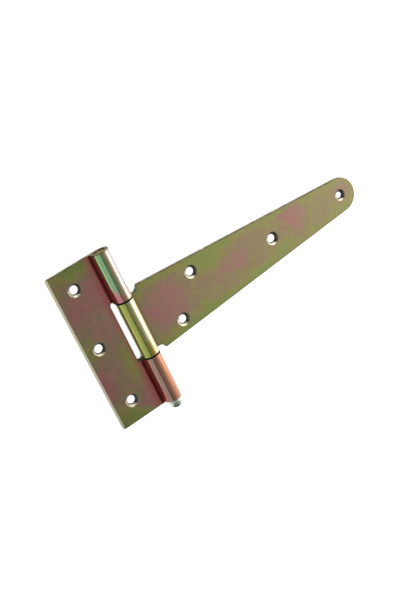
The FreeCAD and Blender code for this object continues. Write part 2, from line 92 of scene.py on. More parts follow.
class HingeSizes(bpy.types.PropertyGroup):
    """What the hinge measures."""

    sheet: length("Sheet", "Thickness of the steel sheet", 2.0 * MM)
    knuckle_radius: length("Knuckle radius", "Outside radius of the knuckles", KNUCKLE_RADIUS)
    middle_knuckle: length("Middle knuckle", "Length of the strap's knuckle", 36.0 * MM)
    knuckle_gap: length("Knuckle gap", "Gap between neighbouring knuckles", 0.6 * MM)
    seam_gap: length("Seam gap", "Gap between a curl's free end and its plate", 0.1 * MM)
    leaf_height: length("Leaf height", "Leaf along the pin", LEAF_HEIGHT)
    leaf_reach: length("Leaf reach", "Pin axis to the leaf's free edge", LEAF_REACH)
    notch_root: length("Notch root", "Pin axis to the root of the leaf's notch", 7.8 * MM)
    notch_step: length("Notch step", "Pin axis to the notch's relief cuts", 5.4 * MM)
    notch_half: length("Notch half width", "Half width of the notch at its root", 19.3 * MM)
    notch_round: length("Notch round", "Radius of the notch's corners", 1.8 * MM)
    leaf_edge_round: length("Leaf edge round", "Rolled free edge, on both faces", 0.9 * MM)
    pressed_round: length("Pressed round", "Front edges left by the blanking tool", 0.35 * MM)
    edge_slope: FloatProperty(
        name="Edge slope",
        description="How much wider than deep the rolled free edge is",
        default=1.3,
        min=1.0,
    )
    edge_break: length("Edge break", "All other edges, softened by tumbling", 0.14 * MM)
    strap_reach: length("Strap reach", "Pin axis to the strap's tip", STRAP_REACH)
    shoulder_foot: length("Shoulder foot", "Pin axis to the foot of the shoulders", 9.7 * MM)
    shoulder_corner: length("Shoulder corner", "Pin axis to the shoulders' corners", 11.4 * MM)
    shoulder_half: length("Shoulder half width", "Half width at the shoulders", 21.2 * MM)
    tip_radius: length("Tip radius", "Round end of the strap", 10.8 * MM)
    screw_hole: length("Screw hole", "Through hole of the screws", 5.0 * MM)
    tip_hole: length("Tip screw hole", "Through hole of the screw in the tip", 4.0 * MM)
    hole_land: length("Hole land", "Straight land under each countersink", 0.4 * MM)
    leaf_hole_end: length("Leaf hole to end", "Outer screw holes to the leaf's ends", 13.0 * MM)
    leaf_hole_edge: length("Leaf hole to edge", "Outer holes to the free edge", 12.4 * MM)
    leaf_middle_hole: length("Middle hole to edge", "Middle hole to the free edge", 9.4 * MM)
    upper_hole_along: length("Upper hole along", "Shoulder corner to upper hole", 33.1 * MM)
    upper_hole_in: length("Upper hole in", "Shoulder's half width to upper hole", 11.2 * MM)
    lower_hole_along: length("Lower hole along", "Shoulder corner to lower hole", 16.6 * MM)
    lower_hole_in: length("Lower hole in", "Shoulder's half width to lower hole", 8.7 * MM)
    tip_hole_pitch: length("Tip hole pitch", "Between the strap's last two holes", 54.2 * MM)
    pin_radius: length("Pin radius", "Radius of the pin's shaft", 3.15 * MM)
    pin_chamfer: length("Pin chamfer", "Chamfer of the pin's plain end", 0.5 * MM)
    head_radius: length("Head radius", "Radius of the pin's domed head", 4.1 * MM)
    head_rim: length("Head rim", "Straight rim under the dome", 1.0 * MM)
    crimp_round: length("Crimp round", "Rim of the lower knuckle closed round the head", 1.1 * MM)
    curl_lean: FloatProperty(
        name="Curl lean",
        description="Lean of the curls' free ends, away from the pin",
        default=math.radians(10),
        subtype="ANGLE",
    )
    curl_steps: IntProperty(
        name="Curl steps", description="Facets round each curl", default=78, min=12, max=200
    )


def colour(name, description, hex_colour):
    """One colour of the finish, written as sRGB hex."""
    return FloatVectorProperty(
        name=name,
        description=description,
        default=linear(hex_colour),
        size=4,
        min=0.0,
        max=1.0,
        subtype="COLOR",
    )


class HingeFinish(bpy.types.PropertyGroup):
    """Colours of the plating, from the thinnest film to the thickest, and of what is beside it."""

    green: colour("Green film", "Where the passivate is thinnest", "#A2AE64")
    olive: colour("Olive film", "The next colour as it thickens", "#B0AC68")
    tan: colour("Tan film", "Middle thickness", "#B49C7C")
    brown: colour("Brown film", "Thicker, before it turns rose", "#C29484")
    rose: colour("Rose film", "Thick film", "#C88A84")
    mauve: colour("Mauve film", "Thickest, before the colours start again", "#B49484")
    haze: colour("Haze", "Dull film where the strap drained last", "#BEB28C")
    # Partly film colour, partly painted shade on the bend's side by the seam.
    plum: colour("Plum film", "Low on the leaf's bends, by the seam", "#90504A")
    sea_green: colour("Sea green film", "Top of the leaf's upper bend", "#90BC88")
    pink: colour("Pink film", "Upper bend, where it ends at the notch", "#D88C9C")
    salmon: colour("Salmon film", "Far side of the leaf's lower bend", "#C88A6C")
    pearl: colour("Pearl film", "Far side of the leaf's upper bend", "#C0B0B4")
    lime: colour("Lime film", "Top of the strap's bend", "#AEB860")
    ochre: colour("Ochre film", "Warm stretch at the strap bend's lower end", "#B89848")
    straw: colour("Straw film", "Far side of the strap's bend", "#CCD4B0")
    # Worn zinc in scratches and specks; also painted on the leaf's free edge as the highlight along
    # its rounding.
    bare_zinc_and_highlight: colour("Bare zinc", "Where handling has worn the film off", "#DCD8BC")
    leaf_seam: colour("Leaf seam", "Film beside the leaf's curls", "#C8706E")
    strap_seam: colour("Strap seam", "Film beside the strap's curl", "#A09068")
    # Painted shade for the crevices under the curls' free ends.
    seam_shade: colour("Residue", "What dried in the seams", "#7A2418")
    cut_edge: colour("Cut edge", "Walls left by the blanking tool", "#7C7458")
    # The cones' lit colour; darker copies of it are painted shade in the holes.
    countersink_lit: colour("Countersink", "Turned cones of the screw holes", "#ECE6CC")
    pin_head: colour("Pin head", "Domed head of the pin", "#C4CCBC")
    # Grease on the pin's shaft; the same dark colour is also painted shade on the rims beside the
    # knuckle gaps and low under the strap's curl.
    grease_and_shade: colour("Grease", "Pin shaft inside the knuckles", "#2C241C")


class StudioSettings(bpy.types.PropertyGroup):
    """Camera, floor and light."""

    camera_place: FloatVectorProperty(
        name="Camera place",
        description="Where the camera stands",
        default=(-0.154285, 0.202416, 0.524954),
        subtype="TRANSLATION",
    )
    camera_aim: FloatVectorProperty(
        name="Camera aim",
        description="Point of the floor in the middle of the view",
        default=(0.042885, -0.008743, 0.0),
        subtype="TRANSLATION",
    )
    camera_roll: FloatProperty(
        name="Camera roll",
        description="Turn about the line of sight",
        default=math.radians(107.76),
        subtype="ANGLE",
    )
    paper_glow: FloatProperty(
        name="Paper glow", description="Light that the paper adds of its own", default=0.85, min=0.0
    )
    camera_lens: FloatProperty(
        name="Lens", description="Focal length in millimetres", default=61.41, min=1.0
    )


# ---- Working by hand: one piece at a time, picked by place ----


def start_clean():
    """Leaves edit mode, with nothing selected."""
    if bpy.context.object is not None and bpy.context.object.mode != "OBJECT":
        bpy.ops.object.mode_set(mode="OBJECT")
    bpy.ops.object.select_all(action="DESELECT")


def pick(obj, kind, wanted):
    """Selects the vertices, edges or faces of the mesh being edited whose place is wanted."""
    bpy.ops.mesh.select_mode(type=kind)
    bpy.ops.mesh.select_all(action="DESELECT")
    mesh = bmesh.from_edit_mesh(obj.data)
    parts = {"VERT": mesh.verts, "EDGE": mesh.edges, "FACE": mesh.faces}[kind]
    found = 0
    for part in parts:
        if wanted(part):
            part.select_set(True)
            found += 1
    if not found:
        raise RuntimeError(f"{obj.name}: nothing to pick for this step")
    mesh.select_flush_mode()
    bmesh.update_edit_mesh(obj.data)


def near(value, target, reach=1e-6):
    return abs(value - target) < reach


def all_near(edge, axis, target, reach=1e-6):
    """Whether both ends of an edge lie at that place along an axis."""
    return all(near(vertex.co[axis], target, reach) for vertex in edge.verts)


def apply_modifier(obj, name):
    bpy.ops.object.mode_set(mode="OBJECT")
    bpy.context.view_layer.objects.active = obj
    bpy.ops.object.modifier_apply(modifier=name)


def cut_across(place, direction):
    """Bisects the whole mesh being edited with a plane."""
    bpy.ops.mesh.select_all(action="SELECT")
    bpy.ops.mesh.bisect(plane_co=place, plane_no=direction)


def add_blank(name, low, high):
    """A flat blank on the floor between two corners, in edit mode."""
    start_clean()
    middle = ((low[0] + high[0]) / 2, (low[1] + high[1]) / 2, 0)
    bpy.ops.mesh.primitive_plane_add(size=1, location=middle)
    blank = bpy.context.object
    blank.name = name
    blank.data.name = name
    bpy.ops.object.mode_set(mode="EDIT")
    bpy.ops.transform.resize(value=(high[0] - low[0], high[1] - low[1], 1), center_override=middle)
    bpy.ops.object.mode_set(mode="OBJECT")
    bpy.ops.object.transform_apply(location=True, rotation=True, scale=True)
    bpy.ops.object.mode_set(mode="EDIT")
    return blank


def roll_curl(blank, sizes, side, at_root):
    """Rolls the edges at the pin's line round the pin: side -1 for the leaf, +1 for the strap."""
    pick(blank, "EDGE", at_root)
    sweep = 1.5 * math.pi - sizes.curl_lean
    axis_height = sizes.knuckle_radius
    bpy.ops.mesh.spin(
        steps=sizes.curl_steps,
        angle=sweep,
        center=(0, 0, axis_height),
        axis=(0, -side, 0),
        use_auto_merge=False,
    )
    lean = sizes.curl_lean
    bore = sizes.knuckle_radius - sizes.sheet
    drop = axis_height + bore * math.sin(lean) - sizes.sheet - sizes.seam_gap
    run = drop / math.cos(lean)
    down = (side * math.sin(lean) * run, 0, -math.cos(lean) * run)
    bpy.ops.mesh.extrude_edges_move(TRANSFORM_OT_translate={"value": down})


def give_thickness(blank, sizes):
    """Turns the rolled blank, drawn by its outer skin, into sheet of full thickness."""
    bpy.ops.mesh.select_all(action="SELECT")
    bpy.ops.mesh.remove_doubles(threshold=1e-6)
    bpy.ops.mesh.normals_make_consistent(inside=False)
    mesh = bmesh.from_edit_mesh(blank.data)
    plate = max(mesh.faces, key=lambda face: face.calc_area())
    if plate.normal.z > 0:
        bpy.ops.mesh.flip_normals()
    bpy.ops.object.mode_set(mode="OBJECT")
    wall = blank.modifiers.new("Sheet", "SOLIDIFY")
    wall.thickness = sizes.sheet
    wall.offset = -1
    wall.use_even_offset = True
    wall.use_quality_normals = True
    apply_modifier(blank, wall.name)


def roll_over_front(blank, sizes, from_pin):
    """Rounds the outline's front edge, which the blanking tool drags down, beyond the curl."""
    bpy.ops.object.mode_set(mode="EDIT")

    def on_outline(edge):
        at_front = all_near(edge, 2, sizes.sheet)
        clear = all(abs(vertex.co.x) > from_pin - 1e-6 for vertex in edge.verts)
        return at_front and clear and edge.calc_face_angle(0.0) > math.radians(60)

    pick(blank, "EDGE", on_outline)
    bpy.ops.mesh.bevel(offset=sizes.pressed_round, segments=4, affect="EDGES")
    bpy.ops.object.mode_set(mode="OBJECT")


def add_hole_cutter(sizes, diameter, place):
    """A countersink bit: a straight pilot that opens at 90 degrees from the hole's land up."""
    start_clean()
    below = -1.0 * MM
    above = sizes.sheet + 1.0 * MM
    depth = sizes.hole_land - below
    bpy.ops.mesh.primitive_cylinder_add(
        vertices=72, radius=diameter / 2, depth=depth, location=(place[0], place[1], below + depth / 2)
    )
    cutter = bpy.context.object
    bpy.ops.object.transform_apply(location=True, rotation=True, scale=True)
    bpy.ops.object.mode_set(mode="EDIT")
    pick(cutter, "FACE", lambda face: face.normal.z > 0.9)
    rise = above - sizes.hole_land
    bpy.ops.mesh.extrude_region_move(TRANSFORM_OT_translate={"value": (0, 0, rise)})
    widen = 1 + rise / (diameter / 2)
    bpy.ops.transform.resize(value=(widen, widen, 1), center_override=(*place, above))
    bpy.ops.object.mode_set(mode="OBJECT")
    return cutter


def bore_screw_holes(blank, sizes, holes):
    """Cuts countersunk holes, given as place and diameter."""
    cutters = [add_hole_cutter(sizes, diameter, place) for place, diameter in holes]
    start_clean()
    for cutter in cutters:
        cutter.select_set(True)
    bpy.context.view_layer.objects.active = cutters[0]
    bpy.ops.object.join()
    tool = bpy.context.object
    cut = blank.modifiers.new("Screw holes", "BOOLEAN")
    cut.operation = "DIFFERENCE"
    cut.solver = "EXACT"
    cut.object = tool
    start_clean()
    blank.select_set(True)
    apply_modifier(blank, cut.name)
    bpy.data.objects.remove(tool)


def break_edges(piece, sizes):
    """Softens every edge that is still sharp, and lets the flats keep their own shading."""
    soft = piece.modifiers.new("Tumbled edges", "BEVEL")
    soft.width = sizes.edge_break
    soft.segments = 3
    soft.limit_method = "ANGLE"
    soft.angle_limit = math.radians(35)
    soft.miter_outer = "MITER_ARC"
    apply_modifier(piece, soft.name)
    start_clean()
    piece.select_set(True)
    bpy.context.view_layer.objects.active = piece
    bpy.ops.object.shade_smooth()
    flats = piece.modifiers.new("Flats", "WEIGHTED_NORMAL")
    flats.weight = 60
    apply_modifier(piece, flats.name)


# ---- Node trees ----


def add_node(tree, kind, settings=None, inputs=None, stops=()):
    """Adds one shader node with its settings, its inputs' values or links, and a ramp's stops.

    A node given as an input is linked by its first output.
    """
    node = tree.nodes.new("ShaderNode" + kind)
    for name, value in (settings or {}).items():
        setattr(node, name, value)
    for name, value in (inputs or {}).items():
        if isinstance(value, bpy.types.Node):
            value = value.outputs[0]
        if isinstance(value, bpy.types.NodeSocket):
            tree.links.new(value, node.inputs[name])
        else:
            node.inputs[name].default_value = value
    for index, (place, colour) in enumerate(stops):
        if index > 1:
            node.color_ramp.elements.new(place)
        node.color_ramp.elements[index].position = place
        node.color_ramp.elements[index].color = colour
    return node


# Settings that many nodes share.
SMOOTH = {"interpolation_type": "SMOOTHSTEP"}
BLEND = {"data_type": "RGBA"}
SEEDED = {"noise_dimensions": "4D"}
ADD = {"operation": "ADD"}
SUBTRACT = {"operation": "SUBTRACT"}
MULTIPLY = {"operation": "MULTIPLY"}
MULTIPLY_ADD = {"operation": "MULTIPLY_ADD"}
GREATER = {"operation": "GREATER_THAN"}
LARGER = {"operation": "MAXIMUM"}
SMALLER = {"operation": "MINIMUM"}
MAGNITUDE = {"operation": "ABSOLUTE"}
DISTANCE = {"operation": "LENGTH"}


def blank_material(name):
    """A new material with an empty node tree."""
    material = bpy.data.materials.new(name)
    material.use_nodes = True
    material.node_tree.nodes.clear()
    return material


def round_bend(low_end, low, main, ridge, far):
    """The film round a bend, from under the pin on the leaf's side, over the top, to the far side.

    The place is the share of a turn from the bottom, so 0.5 is the top. The low colour, on the
    leaf's side of the pin, is darker as painted shade.
    """
    return (
        (0.20, low),
        (low_end, low),
        (low_end + 0.04, main),
        (0.44, main),
        (0.51, ridge),
        (0.60, far),
    )


# Where the film came out thicker or thinner on a plate as the parts drained on their hooks:
# middle in mm, reach in mm each way, and the change in thickness at the middle.
LEAF_BLOOMS = (
    (-16, 47, 15, 9, -0.34),
    (-21, 28, 28, 14, 0.18),
    (-10, 28, 8, 16, 0.14),
    (-33, 3, 11, 11, -0.30),
    (-18, 8, 12, 10, 0.12),
    (-10, -17, 10, 21, -0.24),
    (-34, -20, 11, 20, 0.28),
    (-29, -47, 17, 12, -0.28),
    (-10, -44, 11, 13, 0.34),
)
STRAP_BLOOMS = (
    (22, 0, 21, 21, 0.28),
    (7, 18, 6, 6, -0.32),
    (58, 12, 20, 11, -0.28),
    (44, -18, 34, 10, -0.24),
    (71, 0, 19, 7, 0.24),
    (85, -13, 18, 7, -0.24),
    (107, -9, 13, 8, -0.30),
    (119, 5, 12, 12, 0.38),
    (133, 11, 8, 6, -0.20),
    (151, -7, 11, 7, -0.12),
    (158, 2, 9, 9, 0.16),
)


def passivated_zinc(name, finish, thickness, blooms, seam, seed, bends, outline, notch):
    """Zinc plate with a yellow chromate passivate, on cold-rolled sheet.

    The film is a few hundred nanometres thick and drifts over centimetres, which gives the eye
    soft clouds of olive, tan and rose under a satin metal shine. Over the bends the sheet was
    stretched, so there the film's colours run as bands along the knuckle. Shade is painted in as
    dark colour: low on the bands by the seam, in the crevices under the curls' free ends, on the
    rims beside the knuckle gaps, in a thin line inside the outline and on the curls' ends.
    Handling has worn it to bare zinc in fine scratches and on the free edge, which is also
    painted pale as the highlight along its rounding.

    The seam is given by its colour and reach, and each bend after the first by where along the
    pin it starts and is complete. The outline is its taper, half width at the pin, and the tip's
    centre and radius, and the notch is its root, its half width and the plate's side of the pin.
    """
    material = blank_material(name)
    tree = material.node_tree
    place = add_node(tree, "TexCoord").outputs["Object"]
    in_mm = add_node(tree, "Mapping", inputs={"Vector": place, "Scale": (1 / MM, 1 / MM, 1 / MM)})
    sizes = bpy.context.scene.hinge_sizes
    gap_middle = (sizes.middle_knuckle + sizes.knuckle_gap) / 2 / MM
    free_edge = -sizes.leaf_reach / MM
    crimped_end = -sizes.leaf_height / 2 / MM
    axes = add_node(tree, "SeparateXYZ", inputs={"Vector": in_mm})
    x, y, z = (axes.outputs[axis] for axis in "XYZ")

    # Film thickness: clouds of 9 mm and mottling of 3 mm, over blooms whose outlines wander.
    cloud = add_node(
        tree,
        "TexNoise",
        SEEDED,
        {"Vector": in_mm, "W": seed, "Scale": 1 / 9, "Detail": 3.0, "Roughness": 0.6},
    )
    mottle = add_node(
        tree,
        "TexNoise",
        SEEDED,
        {"Vector": in_mm, "W": seed + 1, "Scale": 1 / 3, "Detail": 3.0, "Roughness": 0.6},
    )
    centred = add_node(tree, "VectorMath", SUBTRACT, {0: cloud.outputs["Color"], 1: (0.5, 0.5, 0.5)})
    wandering = add_node(tree, "VectorMath", MULTIPLY_ADD, {0: centred, 1: (18, 18, 18), 2: in_mm})
    film = add_node(tree, "Math", MULTIPLY_ADD, {0: cloud, 1: 0.60, 2: thickness - 0.42})
    film = add_node(tree, "Math", MULTIPLY_ADD, {0: mottle, 1: 0.40, 2: film})
    for middle_x, middle_y, reach_x, reach_y, change in blooms:
        spot = add_node(
            tree,
            "Mapping",
            inputs={
                "Vector": wandering,
                "Location": (-middle_x / reach_x, -middle_y / reach_y, 0),
                "Scale": (1 / reach_x, 1 / reach_y, 0),
            },
        )
        away = add_node(tree, "VectorMath", DISTANCE, {0: spot}).outputs["Value"]
        bloom = add_node(tree, "MapRange", SMOOTH, {0: away, 1: 1.0, 2: 0.3, 4: change})
        film = add_node(tree, "Math", ADD, {0: bloom, 1: film})

    # Distance inside the outline: two tapering sides, and the round tip beyond them.
    taper, half, tip_centre, tip_radius = outline
    along = add_node(tree, "Math", MAGNITUDE, {0: y})
    inside = add_node(tree, "Math", MULTIPLY_ADD, {0: x, 1: taper, 2: along})
    inside = add_node(tree, "Math", SUBTRACT, {0: half, 1: inside})
    from_tip = add_node(tree, "Mapping", inputs={"Vector": in_mm, "Location": (-tip_centre, 0, 0)})
    from_tip = add_node(tree, "VectorMath", MULTIPLY, {0: from_tip, 1: (1, 1, 0)})
    from_tip = add_node(tree, "VectorMath", DISTANCE, {0: from_tip}).outputs["Value"]
    in_tip = add_node(tree, "Math", SUBTRACT, {0: tip_radius, 1: from_tip})
    beyond = add_node(tree, "Math", GREATER, {0: x, 1: tip_centre})
    inside = add_node(tree, "Mix", inputs={0: beyond, 2: inside, 3: in_tip})
    drained = add_node(tree, "MapRange", SMOOTH, {0: inside, 1: 6.5, 2: 1.0, 4: -0.20})
    film = add_node(tree, "Math", ADD, {0: film, 1: drained})
    tone = add_node(
        tree,
        "ValToRGB",
        inputs={"Fac": film},
        stops=(
            (0.00, finish.green),
            (0.22, finish.olive),
            (0.42, finish.tan),
            (0.60, finish.brown),
            (0.76, finish.rose),
            (0.89, finish.mauve),
            (1.00, finish.green),
        ),
    )
    toward_tip = add_node(tree, "MapRange", inputs={0: x, 1: 30, 2: 165, 4: 0.35})
    tone = add_node(tree, "Mix", BLEND, {0: toward_tip, 6: tone, 7: finish.haze}).outputs[2]

    # The seams: film of their own colour on the front, beside the curl.
    across = add_node(tree, "Math", MAGNITUDE, {0: x})
    front = add_node(tree, "Math", GREATER, {0: z, 1: 1.5})
    beside = add_node(tree, "MapRange", SMOOTH, {0: across, 1: seam[1], 2: 7.0, 4: 0.85})
    beside = add_node(tree, "Math", MULTIPLY, {0: beside, 1: front})
    tone = add_node(tree, "Mix", BLEND, {0: beside, 6: tone, 7: seam[0]}).outputs[2]

    # How far round the pin a point lies, from the bottom by the leaf's side: the top is 0.5.
    height = add_node(tree, "Math", SUBTRACT, {0: z, 1: KNUCKLE_RADIUS / MM})
    angle = add_node(tree, "Math", {"operation": "ARCTAN2"}, {0: x, 1: height})
    turned = add_node(tree, "MapRange", inputs={0: angle, 1: -math.pi, 2: math.pi})
    drawn_out = add_node(tree, "Mapping", inputs={"Vector": in_mm, "Scale": (1.0, 0.16, 1.0)})
    streak = add_node(
        tree, "TexNoise", SEEDED, {"Vector": drawn_out, "W": seed + 3, "Scale": 1 / 2.2, "Detail": 2.0}
    )
    turn = add_node(tree, "Math", MULTIPLY_ADD, {0: streak, 1: 0.05, 2: turned})
    turn = add_node(tree, "Math", SUBTRACT, {0: turn, 1: 0.025})
    bands = add_node(tree, "ValToRGB", inputs={"Fac": turn}, stops=bends[0]).outputs[0]
    slanted = add_node(tree, "Math", SMALLER, {0: x, 1: 0.0})
    slanted = add_node(tree, "Math", MULTIPLY_ADD, {0: slanted, 1: 1.5, 2: y})
    slanted = add_node(tree, "Math", MULTIPLY_ADD, {0: streak, 1: 8.0, 2: slanted})
    for bend, start, end in bends[1:]:
        reached = add_node(tree, "MapRange", SMOOTH, {0: slanted, 1: start + 4, 2: end + 4})
        other = add_node(tree, "ValToRGB", inputs={"Fac": turn}, stops=bend)
        bands = add_node(tree, "Mix", BLEND, {0: reached, 6: bands, 7: other}).outputs[2]

    # The curl is what stands above the sheet, and all that lies past the pin from the plate.
    notch_x, notch_y, side = notch
    above = add_node(tree, "MapRange", SMOOTH, {0: z, 1: 2.05, 2: 2.7})
    past_pin = add_node(tree, "MapRange", SMOOTH, {0: x, 1: side * 1.5, 2: side * -2.5})
    on_curl = add_node(tree, "Math", LARGER, {0: above, 1: past_pin})
    tone = add_node(tree, "Mix", BLEND, {0: on_curl, 6: tone, 7: bands}).outputs[2]

    # Painted shade: dark colour in the crevice under the curl's free end, and on the rims beside the
    # knuckle gaps.
    close = add_node(tree, "MapRange", SMOOTH, {0: across, 1: 7.2, 2: 6.2})
    low = add_node(tree, "MapRange", SMOOTH, {0: z, 1: 2.7, 2: 2.1})
    crevice_shade = add_node(tree, "Math", MULTIPLY, {0: close, 1: low})
    crevice_shade = add_node(tree, "Math", MULTIPLY, {0: crevice_shade, 1: front})
    crevice_shade = add_node(
        tree, "Math", {"operation": "SUBTRACT", "use_clamp": True}, {0: crevice_shade, 1: past_pin}
    )
    # The rims beside the knuckle gaps take the dark grease colour as painted shade.
    from_gap = add_node(tree, "Math", SUBTRACT, {0: along, 1: gap_middle})
    from_gap = add_node(tree, "Math", MAGNITUDE, {0: from_gap})
    rim = add_node(tree, "MapRange", SMOOTH, {0: from_gap, 1: 0.75, 2: 0.5})
    rim = add_node(tree, "Math", MULTIPLY, {0: rim, 1: on_curl})
    for amount, shade in ((crevice_shade, finish.seam_shade), (rim, finish.grease_and_shade)):
        tone = add_node(tree, "Mix", BLEND, {0: amount, 6: tone, 7: shade}).outputs[2]
    seam_and_gap_shade = add_node(tree, "Math", LARGER, {0: crevice_shade, 1: rim})

    # The outline: a painted dark line just inside it and along the notch stands for shade at the
    # edges, darker still on the curls' ends, which are also as dull as the walls.
    from_x = add_node(tree, "Math", MULTIPLY_ADD, {0: x, 1: side, 2: -side * notch_x})
    from_y = add_node(tree, "Math", MULTIPLY_ADD, {0: along, 1: -side, 2: side * notch_y})
    in_notch = add_node(tree, "Math", LARGER, {0: from_x, 1: from_y})
    in_notch = add_node(tree, "Math", MULTIPLY_ADD, {0: on_curl, 1: 10.0, 2: in_notch})
    outer = inside
    inside = add_node(tree, "Math", SMALLER, {0: inside, 1: in_notch})
    outline_shade = add_node(tree, "MapRange", SMOOTH, {0: inside, 1: 0.8, 2: 0.3, 4: 0.75})
    outline_shade_tone = add_node(
        tree,
        "Mix",
        {"data_type": "RGBA", "blend_type": "MULTIPLY"},
        {0: on_curl, 6: finish.cut_edge, 7: (0.30, 0.30, 0.26, 1.0)},
    ).outputs[2]
    tone = add_node(tree, "Mix", BLEND, {0: outline_shade, 6: tone, 7: outline_shade_tone}).outputs[2]
    cut_end = add_node(tree, "MapRange", SMOOTH, {0: outer, 1: 0.3, 2: 0.1})
    cut_end = add_node(tree, "Math", MULTIPLY, {0: cut_end, 1: on_curl})
    tone = add_node(tree, "Mix", BLEND, {0: cut_end, 6: tone, 7: finish.cut_edge}).outputs[2]

    # Wear: the rolled free edge, worn to bare zinc and also painted pale as its highlight, and hair
    # scratches a third of a millimetre wide.
    edge = add_node(tree, "MapRange", SMOOTH, {0: x, 1: free_edge + 1.5, 2: free_edge + 0.8, 4: 0.90})
    crimped = add_node(
        tree, "MapRange", SMOOTH, {0: y, 1: crimped_end + 2.0, 2: crimped_end + 1.3, 4: 0.95}
    )
    crimped = add_node(tree, "Math", MULTIPLY, {0: crimped, 1: on_curl})
    tone = add_node(tree, "Mix", BLEND, {0: crimped, 6: tone, 7: finish.pin_head}).outputs[2]
    scratch_place = add_node(
        tree, "Mapping", inputs={"Vector": in_mm, "Rotation": (0, 0, 0.5), "Scale": (0.06, 1.6, 1.0)}
    )
    scratch = add_node(
        tree, "TexNoise", SEEDED, {"Vector": scratch_place, "W": seed + 5, "Scale": 1.0, "Detail": 1.0}
    )
    scratch = add_node(tree, "MapRange", inputs={0: scratch, 1: 0.70, 2: 0.78, 4: 0.22})
    worn = add_node(tree, "Math", LARGER, {0: edge, 1: scratch})
    tone = add_node(tree, "Mix", BLEND, {0: worn, 6: tone, 7: finish.bare_zinc_and_highlight}).outputs[2]

    # Rolled grain, drawn a quarter of a millimetre wide so that it shows, and cloudy gloss.
    rolled = add_node(tree, "Mapping", inputs={"Vector": in_mm, "Scale": (0.6, 4.0, 4.0)})
    grain = add_node(
        tree, "TexNoise", SEEDED, {"Vector": rolled, "W": seed + 7, "Scale": 1.0, "Detail": 2.0}
    )
    bump = add_node(
        tree, "Bump", inputs={"Strength": 0.5, "Distance": 0.006 * MM, "Height": grain.outputs["Fac"]}
    )
    gloss = add_node(tree, "MapRange", inputs={0: mottle, 1: 0.3, 2: 0.7, 3: 0.16, 4: 0.26})
    # Where seam and gap shade is painted, the surface is also rougher and less metallic.
    gloss = add_node(tree, "Math", MULTIPLY_ADD, {0: seam_and_gap_shade, 1: 0.3, 2: gloss})
    metal = add_node(tree, "MapRange", inputs={0: seam_and_gap_shade, 1: 0.0, 2: 1.0, 3: 1.0, 4: 0.3})
    metal = add_node(tree, "Math", SUBTRACT, {0: metal, 1: cut_end})
    shine = add_node(tree, "MapRange", inputs={0: cut_end, 1: 0.0, 2: 1.0, 3: 0.5, 4: 0.0})
    shader = add_node(
        tree,
        "BsdfPrincipled",
        inputs={
            "Base Color": tone,
            "Metallic": metal,
            "Roughness": gloss,
            "Specular IOR Level": shine,
            "Normal": bump,
        },
    )
    add_node(tree, "OutputMaterial", inputs={"Surface": shader})
    return material


def sheared_edge(finish):
    """The sheet's cut walls and the edges rolled over by the die.

    Torn grain under the same plating, so the walls are duller, darker and rougher than the flats,
    with fine tears across the sheet and specks of bare zinc. On the rolled front edges the same
    dark colour is painted shade, a thin dark line along the outline.
    """
    material = blank_material("sheared_steel_edge")
    tree = material.node_tree
    place = add_node(tree, "TexCoord").outputs["Object"]
    in_mm = add_node(tree, "Mapping", inputs={"Vector": place, "Scale": (1 / MM, 1 / MM, 1 / MM)})
    tears = add_node(tree, "Mapping", inputs={"Vector": in_mm, "Scale": (2.5, 2.5, 0.35)})
    torn = add_node(tree, "TexNoise", inputs={"Vector": tears, "Scale": 1.0, "Detail": 2.0})
    patches = add_node(tree, "TexNoise", inputs={"Vector": in_mm, "Scale": 1 / 4, "Detail": 2.0})
    dark = tuple(0.55 * channel for channel in finish.cut_edge[:3]) + (1.0,)
    tone = add_node(
        tree,
        "ValToRGB",
        inputs={"Fac": patches.outputs["Fac"]},
        stops=((0.35, dark), (0.60, finish.cut_edge[:]), (0.72, finish.tan[:])),
    )
    speck = add_node(tree, "MapRange", inputs={0: torn.outputs["Fac"], 1: 0.66, 2: 0.74, 4: 0.5})
    tone = add_node(tree, "Mix", BLEND, {0: speck, 6: tone, 7: finish.bare_zinc_and_highlight}).outputs[2]
    height = add_node(tree, "SeparateXYZ", inputs={"Vector": in_mm}).outputs["Z"]
    on_curl = add_node(tree, "MapRange", inputs={0: height, 1: 2.0, 2: 2.6, 4: 0.85})
    tone = add_node(tree, "Mix", BLEND, {0: on_curl, 6: tone, 7: finish.grease_and_shade}).outputs[2]
    bump = add_node(
        tree, "Bump", inputs={"Strength": 0.6, "Distance": 0.03 * MM, "Height": torn.outputs["Fac"]}
    )
    gloss = add_node(
        tree, "MapRange", inputs={0: torn.outputs["Fac"], 1: 0.3, 2: 0.7, 3: 0.36, 4: 0.52}
    )
    shader = add_node(
        tree,
        "BsdfPrincipled",
        inputs={"Base Color": tone, "Metallic": 1.0, "Roughness": gloss, "Normal": bump},
    )
    add_node(tree, "OutputMaterial", inputs={"Surface": shader})
    return material


# The cones' own attribute for painted light and shade: 0 on the side painted as shaded, 1 on the side
# painted as lit.
CONE_LIT_SIDE = "cone_lit_side"
LIT_DIRECTION = (-0.7, -0.71)
# From a screw hole's middle to just past its cone.
CONE_REACH = 4.3 * MM


